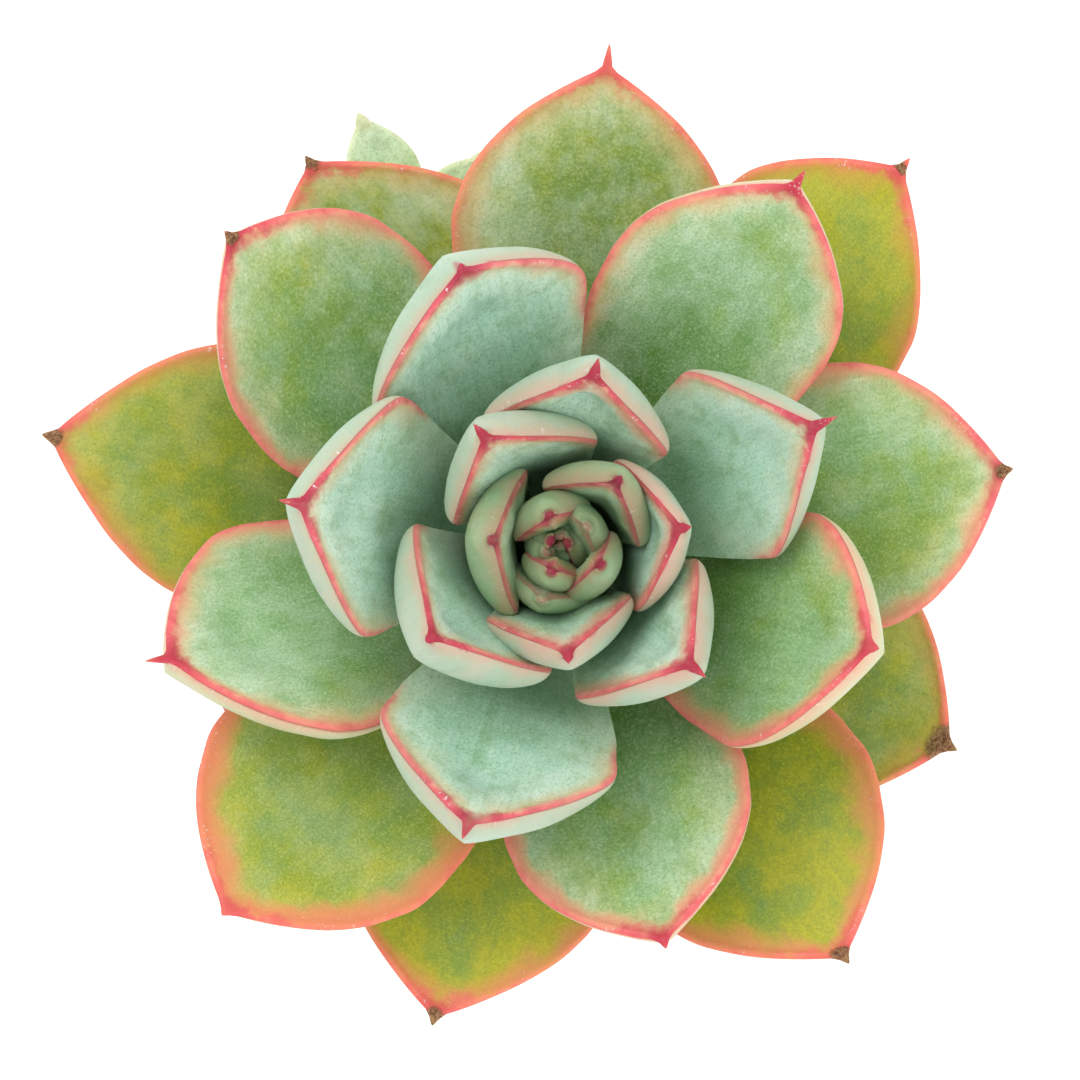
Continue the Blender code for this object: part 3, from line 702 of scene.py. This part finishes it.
    values = {
        "edge_mm": both(inward, np.hypot(inward, depth)),
        "along": both(share, share),
        "underside": np.isin(used, under[:-1, 1:-1]).astype(float),
        "tip_mm": both(tip, tip),
        "leaf_place": np.stack([both(place, place), both(side, side + UNDERSIDE_SHIFT),
                                np.full(len(used), seed * LEAF_SHIFT)], -1),
    }
    for key, number in (("sun", sun), ("wax", wax), ("flush", flush), ("dried", dried),
                        ("spread", spread)):
        values[key] = np.full(len(used), number)
    made = piece(name, points[used], faces, finish, values, at)
    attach(made, "root")
    return made


def stretched(tree, place, by):
    """The place with each axis scaled, so that a pattern on it turns long or flat."""
    return put(tree, "ShaderNodeVectorMath", {0: place, 1: by}, operation="MULTIPLY").outputs[0]


# Leaf skin: all that colours a leaf, from its foot's deeper green and painted shade to the line
# on its margin. Lengths are in millimetres; sun, wax and flush come from the leaf itself.
WAX_TINT = (0.62, 0.76, 0.64, 1)
BLOOM_TINT = (0.74, 0.76, 0.62, 1)
SHADED_DOT = (0.72, 0.84, 0.58, 1)
SUNNED_DOT = (0.60, 0.62, 0.10, 1)
DARK_SPECK = (0.10, 0.20, 0.04, 1)
DARK_BLOTCH = (0.12, 0.26, 0.04, 1)
DARK_STREAK = (0.12, 0.22, 0.04, 1)
BACK_BLUSH = (0.80, 0.42, 0.38, 1)
# Painted highlight: the white of small glints on the ridge beside the margin.
RIDGE_GLINT = (0.92, 0.80, 0.78, 1)
leaf_skin, given, gives = effect(
    "leaf skin",
    {"Place": None,
     **dict.fromkeys(("Edge", "Along", "Underside", "Tip", "Sun", "Wax", "Flush", "Dried", "Spread",
                      "Line From", "Line Width", "Line Fade", "Halo Reach", "Halo Strength",
                      "Back Reach"), 1.0),
     **dict.fromkeys(("Shaded", "Half Sun", "Full Sun", "Foot", "Halo", "Blush", "Line",
                      "Deep Line", "Back"), GREY)},
    ("Color", "Roughness", "Height"))
tree = leaf_skin
place, edge, along, tip, underside, sun, wax, flush, dried, line_from, line_fade = (
    given[name] for name in ("Place", "Edge", "Along", "Tip", "Underside", "Sun", "Wax", "Flush",
                             "Dried", "Line From", "Line Fade"))
broad = cloud(tree, place, 15.0, 2.0)
patch = cloud(tree, place, 5.5, 4.0, 0.6)
# Towards its foot the blade turns deeper green and darker: partly the leaf's own colour, partly painted
# shade where the leaves crowd and overlap.
foot_green_and_shade_mask = fade(tree, scaled(tree, patch, 0.5, sums(tree, "SUBTRACT", along, 0.25)),
                 0.22, 0.86, 1, 0)

# Sun turns the blade yellow, most near the margins and in uneven patches.
near_edge = fade(tree, edge, 0.5, 10.0, 1, 0)
sunned = times(tree, sun, scaled(tree, near_edge, 0.55, 0.62))
uneven = sums(tree, "SUBTRACT", sums(tree, "ADD", broad, patch), 1.0)
uneven = times(tree, uneven, scaled(tree, sun, 1.5, 0.75))
sunned = sums(tree, "ADD", sunned, uneven)
sunned = sums(tree, "SUBTRACT", sunned, times(tree, foot_green_and_shade_mask, 0.12))
blade = between(tree, fade(tree, sunned, 0.0, 0.5), given["Shaded"], given["Half Sun"])
blade = between(tree, fade(tree, sunned, 0.45, 1.0), blade, given["Full Sun"])
# The foot colour: its deeper green with painted shade mixed in.
blade = between(tree, foot_green_and_shade_mask, blade, given["Foot"])

# Wax lies in thin clouds, and is rubbed off in places.
waxy = times(tree, fade(tree, cloud(tree, place, 7.0, 4.0, 0.60), 0.38, 0.64), wax,
             scaled(tree, foot_green_and_shade_mask, -0.7, 1.0))
blade = between(tree, times(tree, waxy, 0.42), blade, WAX_TINT)
bloom = times(tree, fade(tree, edge, 1.0, 7.5, 1, 0), fade(tree, wax, 0.1, 0.9),
              fade(tree, patch, 0.25, 0.60, 0.10, 0.42))
blade = between(tree, bloom, blade, BLOOM_TINT)

# Fine pale dots in rows across the blade, and faint streaks along it.
in_rows = stretched(tree, place, (1.25, 0.8, 1.0))
cells = put(tree, "ShaderNodeTexVoronoi", {"Vector": in_rows, "Scale": 2.9, "Randomness": 0.9},
            feature="F1").outputs["Distance"]
dots = fade(tree, cells, 0.10, 0.50, 1, 0)
lengthwise = stretched(tree, place, (0.16, 1.3, 1.0))
streak = put(tree, "ShaderNodeTexNoise", {"Vector": lengthwise, "Scale": 0.9, "Detail": 3.0}).outputs[0]
speck = cloud(tree, place, 0.34, 3.0, 0.75)
blotch = cloud(tree, place, 3.4, 5.0, 0.68)
pale_dot = between(tree, fade(tree, sun, 0.3, 0.8), SHADED_DOT, SUNNED_DOT)
for share, tint in ((times(tree, dots, 0.13), pale_dot),
                    (fade(tree, speck, 0.48, 0.72, 0.0, 0.36), pale_dot),
                    (fade(tree, speck, 0.28, 0.50, 0.50, 0.0), DARK_SPECK),
                    (fade(tree, blotch, 0.48, 0.70, 0.0, 0.34), DARK_BLOTCH),
                    (fade(tree, streak, 0.40, 0.72, 0.0, 0.16), DARK_STREAK)):
    blade = between(tree, share, blade, tint)

# The back is paler, palest just behind the margin, with a soft blush there.
pale = times(tree, underside, fade(tree, edge, 0.3, given["Back Reach"], 0.92, 0.25))
blade = between(tree, pale, blade, given["Back"])
blush = times(tree, fade(tree, patch, 0.40, 0.72), pale, 0.26, flush)
blade = between(tree, blush, blade, BACK_BLUSH)

# A warm halo inside the margin, then the line itself, stronger towards the tip.
ragged = cloud(tree, place, 2.4, 3.0, 0.6)
wavering = cloud(tree, place, 6.0, 2.0)
outer_half = fade(tree, along, line_from, sums(tree, "ADD", line_from, 0.2))
outer_half = times(tree, flush, outer_half)
reach = times(tree, given["Halo Reach"], scaled(tree, wavering, 2.2, -0.1))
halo = times(tree, fade(tree, edge, 0.1, reach, 1, 0), outer_half, given["Halo Strength"],
             scaled(tree, underside, -0.75, 1.0))
blade = between(tree, halo, blade, given["Halo"])
blush_reach = times(tree, given["Spread"], scaled(tree, wavering, 2.4, -0.2))
blushing = times(tree, fade(tree, edge, 0.0, blush_reach, 1, 0), outer_half,
                 scaled(tree, underside, -0.5, 1.0), 0.78)
blade = between(tree, blushing, blade, given["Blush"])
fray = cloud(tree, place, 0.9, 3.0, 0.7)
line_width = times(tree, given["Line Width"], scaled(tree, ragged, 4.4, -1.3))
line_width = scaled(tree, fray, 0.5, sums(tree, "SUBTRACT", line_width, 0.25))
line_width = times(tree, line_width, fade(tree, tip, 1.5, line_fade, 2.3, 0.7))
line_width = sums(tree, "MAXIMUM", line_width, 0.12)
crisp = times(tree, edge, scaled(tree, underside, 1.8, 1.0))
line = fade(tree, crisp, times(tree, line_width, 0.1), times(tree, line_width, 1.9), 1, 0)
# Behind the tip the red stops at the foot of the spine.
behind = times(tree, underside, fade(tree, tip, 0.2, 0.7), fade(tree, along, 0.998, 1.012, 1, 0))
behind_tip = times(tree, behind, fade(tree, tip, 2.5, 4.5, 1, 0))
line = times(tree, line, fade(tree, outer_half, 0.0, 0.55),
             fade(tree, wavering, 0.30, 0.50, 0.40, 1.0),
             fade(tree, tip, 3.0, times(tree, line_fade, 2.0), 1, 0.62),
             sums(tree, "SUBTRACT", 1.0, behind_tip))
deepening = times(tree, fade(tree, ragged, 0.46, 0.66), 0.6)
by_tip = fade(tree, tip, 1.0, times(tree, line_fade, 0.7), 1.0, 0.0)
deepening = sums(tree, "MAXIMUM", deepening, by_tip)
line_colour = between(tree, deepening, given["Line"], given["Deep Line"])
blade = between(tree, times(tree, line, 0.95), blade, line_colour)

# The spine is flushed; on the ridge beside it, small white specks are painted highlights, glints made
# glossier and a little raised as well.
spine = times(tree, fade(tree, tip, 0.8, 2.8, 1, 0), flush, sums(tree, "SUBTRACT", 1.0, behind))
blade = between(tree, times(tree, spine, 0.75), blade, line_colour)
ridge_glints = times(tree, fade(tree, cloud(tree, place, 0.42, 2.0, 0.75), 0.60, 0.70),
                 fade(tree, edge, 0.5, 2.0, 1, 0), fade(tree, wavering, 0.50, 0.64), outer_half)
blade = between(tree, times(tree, ridge_glints, 0.75), blade, RIDGE_GLINT)

# Old tips dry out and turn to brown cork.
drying = sums(tree, "ADD", tip, scaled(tree, ragged, 2.6, -1.3))
cork = times(tree, fade(tree, drying, times(tree, dried, 0.55), dried, 1, 0),
             fade(tree, dried, 0.2, 0.6))
brown = between(tree, fade(tree, speck, 0.35, 0.65), paint(84, 56, 34), paint(164, 130, 92))
blade = between(tree, times(tree, cork, 0.92), blade, brown)
tree.links.new(blade, gives["Color"])

rough = 0.40
for part, amount in ((waxy, 0.16), (fade(tree, speck, 0.3, 0.7), 0.08), (line, -0.08),
                     (ridge_glints, -0.22), (cork, 0.35)):
    rough = scaled(tree, part, amount, rough)
tree.links.new(sums(tree, "ADD", rough, 0.0, clamp=True), gives["Roughness"])

height = 0.0
for part, depth in ((dots, 0.016), (speck, 0.022), (patch, 0.10), (streak, 0.035), (ridge_glints, 0.06),
                    (times(tree, line, ragged), 0.12), (times(tree, cork, speck), 0.35)):
    height = scaled(tree, part, depth, height)
tree.links.new(height, gives["Height"])


def leaf_finish(name, seen, **skin):
    """One leaf material: the skin group with this age's colours, some holding painted shade, on a fleshy
    shader.
    """
    skin = {key: paint(*value) if isinstance(value, tuple) else value for key, value in skin.items()}
    made, tree, shader = finish_named(
        name, paint(*seen), Subsurface_Weight=0.18, Subsurface_Scale=0.0022,
        Subsurface_Radius=(0.9, 1.0, 0.35), IOR=1.42, Specular_IOR_Level=0.42)
    for socket, key in (("Edge", "edge_mm"), ("Along", "along"), ("Underside", "underside"),
                        ("Tip", "tip_mm"), ("Sun", "sun"), ("Wax", "wax"), ("Flush", "flush"),
                        ("Dried", "dried"), ("Spread", "spread")):
        skin[socket] = put(tree, "ShaderNodeAttribute", attribute_name=key).outputs["Fac"]
    spot = put(tree, "ShaderNodeAttribute", attribute_name="leaf_place").outputs["Vector"]
    coloured = use(tree, leaf_skin, Place=spot, **skin)
    wire_up(tree, shader, coloured["Color"], coloured["Roughness"], coloured["Height"])
    return made


# Each age's foot colour holds painted shade as well as the deeper green of the leaf's base.
outer_skin = leaf_finish(
    "old sunned leaf", (166, 168, 75),
    Shaded=(126, 152, 74), Half_Sun=(142, 156, 46), Full_Sun=(166, 164, 26),
    Foot=(90, 118, 16), Halo=(200, 142, 66), Line=(232, 120, 104),
    Deep_Line=(208, 84, 84), Back=(214, 214, 160), Halo_Reach=4.4, Halo_Strength=0.80,
    Line_Width=0.6, Back_Reach=9.0, Line_From=0.14, Line_Fade=9.0, Blush=(226, 120, 98))
middle_skin = leaf_finish(
    "grown leaf", (142, 170, 118),
    Shaded=(142, 180, 128), Half_Sun=(138, 166, 78), Full_Sun=(166, 172, 56),
    Foot=(84, 128, 42), Halo=(220, 166, 112), Line=(222, 100, 104),
    Deep_Line=(190, 56, 76), Back=(198, 202, 166), Halo_Reach=3.4, Halo_Strength=0.70,
    Line_Width=0.6, Back_Reach=8.0, Line_From=0.26, Line_Fade=9.0, Blush=(226, 128, 116))
heart_skin = leaf_finish(
    "young leaf", (141, 182, 155),
    Shaded=(168, 208, 190), Half_Sun=(154, 190, 146), Full_Sun=(160, 178, 90),
    Foot=(132, 178, 140), Halo=(206, 172, 116), Line=(212, 84, 100),
    Deep_Line=(168, 44, 70), Back=(164, 186, 164), Halo_Reach=3.2, Halo_Strength=0.72,
    Line_Width=0.52, Back_Reach=7.0, Line_From=0.48, Line_Fade=7.0, Blush=(220, 124, 120))
# The innermost leaves: a greener, darker palette, partly the young leaves' own green and partly painted
# shade deep in the heart, darkest at the foot.
inner_green_and_shade_skin = leaf_finish(
    "heart leaf, own green and painted shade", (122, 150, 104),
    Shaded=(146, 182, 148), Half_Sun=(134, 168, 112), Full_Sun=(146, 162, 88),
    Foot=(74, 116, 68), Halo=(196, 156, 104), Line=(198, 88, 106),
    Deep_Line=(140, 36, 66), Back=(132, 162, 122), Halo_Reach=2.4, Halo_Strength=0.80,
    Line_Width=0.46, Back_Reach=5.0, Line_From=0.50, Line_Fade=5.0, Blush=(190, 110, 108))

# From which leaf on each skin is worn; the last, for the innermost leaves, is partly painted shade.
SKINS = [(0, outer_skin), (8, middle_skin), (14, heart_skin), (24, inner_green_and_shade_skin)]


def by_age(table, index):
    """What a table says for this leaf. Each entry holds from its first leaf to the next entry."""
    return [entry[1:] for entry in table if index >= entry[0]][-1]


for index, row in enumerate(LEAVES):
    azimuth, shape, look = row[0], row[1:14], row[14:]
    group = by_age(GROUPS, index)
    finish = by_age(SKINS, index)[0]
    leaf = grow_leaf(f"blade_{index + 1:02d}", finish, (*STEM_AT, ROSETTE_Z + LEAF_STEP * index),
                     azimuth, leaf_foot(index), *shape, look, group, index + 1,
                     LEAF_ROWS, LEAF_COLUMNS)
    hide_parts(f"leaf_{index + 1:02d}")

# Unopened leaves at the tip of the stem fill the gaps between the youngest ones.
TIP_LEAVES = [              # angle, steps up the stem, foot, length, width, lean
    (36, 25.5, 2.0, 21, 13, 78), (250, 24.5, 3.0, 21, 13, 72), (290, 30, 0.3, 13.0, 6, 84),
    (205, 27, 1.4, 17, 9, 80), (95, 27.5, 1.0, 16, 8, 82)]
# The tip leaves wear the innermost leaves' darker skin, partly painted shade.
for index, (azimuth, steps, foot, length, width, lean) in enumerate(TIP_LEAVES):
    leaf = grow_leaf(f"tip_blade_{index + 1}", inner_green_and_shade_skin, (*STEM_AT, ROSETTE_Z + LEAF_STEP * steps),
                     azimuth, foot, length, width, lean, 24, 44, 0, 0, 1.2, 0.4, 0.6, 0.6, 1.8, 1.0,
                     (0.1, 0.2, 0.25, 0.0, 0.0, 1.6, 0.5), (0.9, 0.7, 20, 0.30, 0.72, 0.25),
                     90 + index, SMALL_ROWS, SMALL_COLUMNS)
    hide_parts("stem")

# ==== Offset ================================================================================
# A young plant has sprouted beside the stem. It hangs on a thin green runner that leaves the
# stem under the lowest leaves, and its seven soft leaves have hardly any red yet.
offset_skin = leaf_finish(
    "offset leaf", (186, 208, 144),
    Shaded=(204, 230, 206), Half_Sun=(200, 226, 184), Full_Sun=(200, 218, 140),
    Foot=(140, 192, 78), Halo=(214, 218, 160), Line=(226, 214, 176),
    Deep_Line=(220, 170, 140), Back=(206, 222, 176), Halo_Reach=2.4, Halo_Strength=0.7,
    Line_Width=0.4, Back_Reach=5.0, Line_From=0.50, Line_Fade=4.0, Blush=(220, 200, 160))
OFFSET_AT = (-12.3, 33.0, 67.4)
OFFSET_FOOT = 1.6
OFFSET_STEP = 0.4           # each of its leaves sits this much higher
OFFSET_LEAVES = [           # angle, length, width, lean
    (113, 18.0, 9.0, 8), (254, 9.0, 7.0, 4), (62, 13.5, 8.0, 10), (185, 11.0, 7.0, 8),
    (318, 9.0, 6.5, 8), (90, 5.0, 4.5, 20), (235, 4.0, 3.6, 10)]
RUNNER_RADIUS = (1.2, 1.2, 1.2, 1.1, 1.0, 1.0, 1.0, 0.9)
RUNNER_SIDES = 20
RUNNER_STEPS = 46
RUNNER_START = 64.8         # height where it leaves the stem
RUNNER_LEVEL = 64.6         # height where it turns up to the offset

for index, (azimuth, length, width, lean) in enumerate(OFFSET_LEAVES):
    foot = OFFSET_FOOT * (1 if index < 5 else 0.45)
    leaf = grow_leaf(f"offset_blade_{index + 1}", offset_skin,
                     OFFSET_AT + np.array([0, 0, OFFSET_STEP * index]), azimuth, foot, length,
                     width, lean, 14, 24, 0, 0, 1.9, 0.8, 0.6, 0, 0.26 * width, 0.5,
                     (0.3, 0.7, 0.12, 0.0, 0.0, 0.3, 0.3), (0, 0, 0, 0.42, 0.5, 0.45), 60 + index,
                     SMALL_ROWS, SMALL_COLUMNS)
    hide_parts(f"offset_leaf_{index + 1}")

stem_point = np.array([*STEM_AT, RUNNER_START])
away = np.array([OFFSET_AT[0] - STEM_AT[0], OFFSET_AT[1] - STEM_AT[1], 0.0])
reach = np.linalg.norm(away)
away = away / reach
below = np.array([OFFSET_AT[0], OFFSET_AT[1], RUNNER_LEVEL])
start = stem_point + away * (STEM_RADIUS + 0.3)
knots = np.array([
    start, start + away * reach * 0.30 + (0, 0, 0.3), start + away * reach * 0.62,
    below - away * 2.6, below - away * 1.2 + (0, 0, 0.15), below - away * 0.25 + (0, 0, 0.75),
    below + (0, 0, 1.9), OFFSET_AT + np.array([0, 0, 0.8])])
ways = np.linspace(0, len(knots) - 1, RUNNER_STEPS)
path = []
for t in ways:                              # a smooth curve through the knots
    k = min(int(t), len(knots) - 2)
    f = t - k
    p0, p1, p2, p3 = (knots[min(max(k + d, 0), len(knots) - 1)] for d in (-1, 0, 1, 2))
    path.append(0.5 * (2 * p1 + (p2 - p0) * f + (2 * p0 - 5 * p1 + 4 * p2 - p3) * f ** 2
                       + (3 * p1 - p0 - 3 * p2 + p3) * f ** 3))
side_way = np.array([-away[1], away[0], 0.0])
runner_points, rings = [], []
for k, centre in enumerate(path):
    ahead = path[min(k + 1, len(path) - 1)] - path[max(k - 1, 0)]
    up = np.cross(ahead / np.linalg.norm(ahead), side_way)
    radius = np.interp(ways[k], range(len(RUNNER_RADIUS)), RUNNER_RADIUS) * (1 + 0.05 * math.sin(1.7 * k))
    rings.append([len(runner_points) + j for j in range(RUNNER_SIDES)])
    for j in range(RUNNER_SIDES):
        turn = 2 * math.pi * j / RUNNER_SIDES
        runner_points.append(centre + (side_way * math.cos(turn) + up * math.sin(turn)) * radius)
faces = [tuple(rings[0][::-1]), tuple(rings[-1])]
for a, b in zip(rings[:-1], rings[1:]):
    for j in range(RUNNER_SIDES):
        i = (j + 1) % RUNNER_SIDES
        faces.append((a[j], a[i], b[i], b[j]))
runner = piece("runner", runner_points, faces, bark)
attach(runner, "root")
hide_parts("offset_runner")

# ==== Studio ================================================================================
# A white sweep under the pot, a bright even sky of white card, a soft window light and a
# broad fill opposite it, with the camera looking straight down from well above the plant.
CAMERA_AT = (0.00182, -0.00014, 0.845)      # metres, as for the lamps
CAMERA_LENS = 214.6
LAMP_AIM = (0.0, 0.0, 0.09)
LAMPS = [                   # name, place, size, power
    ("window light", (-0.45, 0.52, 1.0), 0.8, 5.5), ("fill card", (0.75, -0.6, 0.85), 1.0, 5.0)]
SWEEP_RADIUS = 3000.0       # millimetres again
SWEEP_WHITE = (0.88, 0.88, 0.88, 1)

camera_data = bpy.data.cameras.new("camera above")
camera_data.sensor_width = 36.0
camera_data.lens = CAMERA_LENS
camera_data.clip_start, camera_data.clip_end = 0.01, 20.0
camera = bpy.data.objects.new("camera above", camera_data)
camera.location = CAMERA_AT
bpy.context.scene.collection.objects.link(camera)
bpy.context.scene.camera = camera

card, tree, shader = finish_named("white sweep", SWEEP_WHITE, Specular_IOR_Level=0.1)
spot = place_in_mm(tree)
tone = use(tree, uneven_tone, Place=spot, Patch_Size=400.0, Amount=0.2, Color=SWEEP_WHITE,
           Light=(0.90, 0.90, 0.90, 1), Dark=(0.85, 0.85, 0.85, 1))
wire_up(tree, shader, tone["Color"], cloud(tree, spot, 60.0), cloud(tree, spot, 1.5), 0.05)
shader.inputs["Emission Color"].default_value = (1, 1, 1, 1)
shader.inputs["Emission Strength"].default_value = 0.30
sweep_outline = [(0.0, 0.0), (60.0, 0.0), (400.0, 0.0), (SWEEP_RADIUS, 0.0), (SWEEP_RADIUS, -2.0),
                 (0.0, -2.0)]
points, faces = turned(sweep_outline, 64)
floor = piece("white_floor", points, faces, card, at=(0, 0, -0.05))

world = bpy.data.worlds.new("white card sky")
world.use_nodes = True
world.node_tree.nodes["Background"].inputs["Color"].default_value = (1.0, 1.0, 1.0, 1)
world.node_tree.nodes["Background"].inputs["Strength"].default_value = 1.0
bpy.context.scene.world = world
bpy.context.scene.view_settings.view_transform = "Standard"

for name, place, size, power in LAMPS:
    lamp = bpy.data.lights.new(name, "AREA")
    lamp.shape = "DISK"
    lamp.size = size
    lamp.energy = power
    made = bpy.data.objects.new(name, lamp)
    made.location = place
    toward = np.array(LAMP_AIM) - np.array(place)
    made.rotation_euler = (math.atan2(math.hypot(toward[0], toward[1]), -toward[2]), 0,
                           math.atan2(toward[1], toward[0]) - math.pi / 2)
    bpy.context.scene.collection.objects.link(made)
